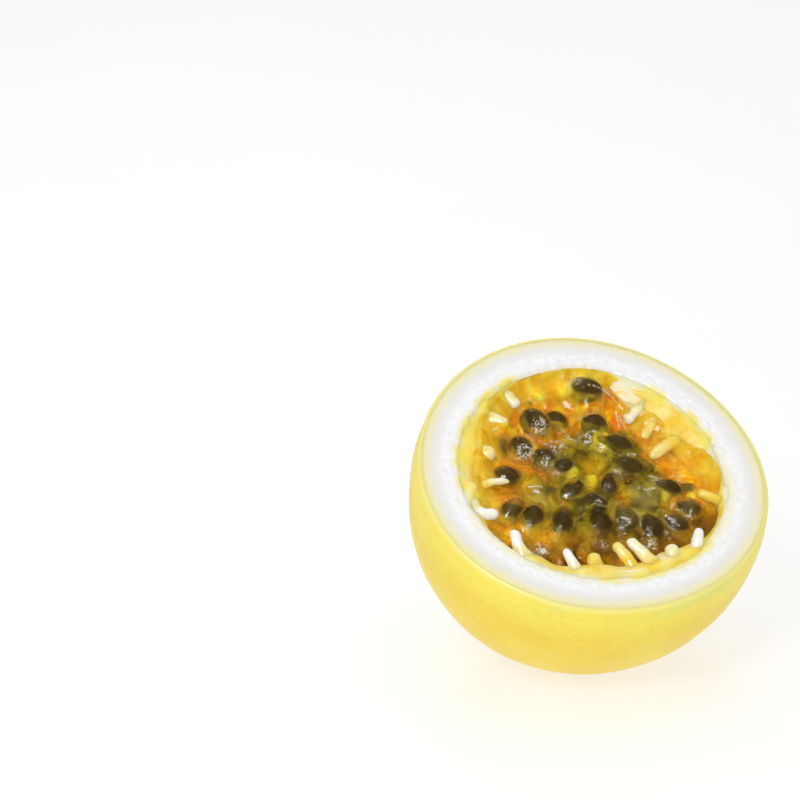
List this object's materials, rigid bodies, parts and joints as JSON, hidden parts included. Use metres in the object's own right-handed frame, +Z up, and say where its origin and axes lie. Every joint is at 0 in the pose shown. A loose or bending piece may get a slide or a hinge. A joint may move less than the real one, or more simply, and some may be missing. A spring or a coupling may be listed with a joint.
{
  "type": "passion fruit half",
  "caption": "Half of a ripe yellow passion fruit, cut across, with thick white pith round a juicy seed-filled middle, lying tilted on its round side.",
  "frame": {"origin": "centre of the small flat spot on the peel that the half rests on", "axes": "+Z up, square to the surface it rests on; -Y towards the low edge of the tilted cut face; +X across the face, to the right as seen from in front of it"},
  "size_m": [0.0686, 0.0669, 0.057],
  "materials": {
    "peel": "smooth waxy yellow fruit skin, semi-matte",
    "pith": "moist cut white pith",
    "lining": "wet cream to yellow membrane",
    "pulp": "wet translucent amber and olive jelly",
    "seed": "wet dark brown pitted seed"
  },
  "bodies": {
    "root": {"rind": "peel", "lining": "lining", "pulp": "pulp"}
  },
  "joints": []
}
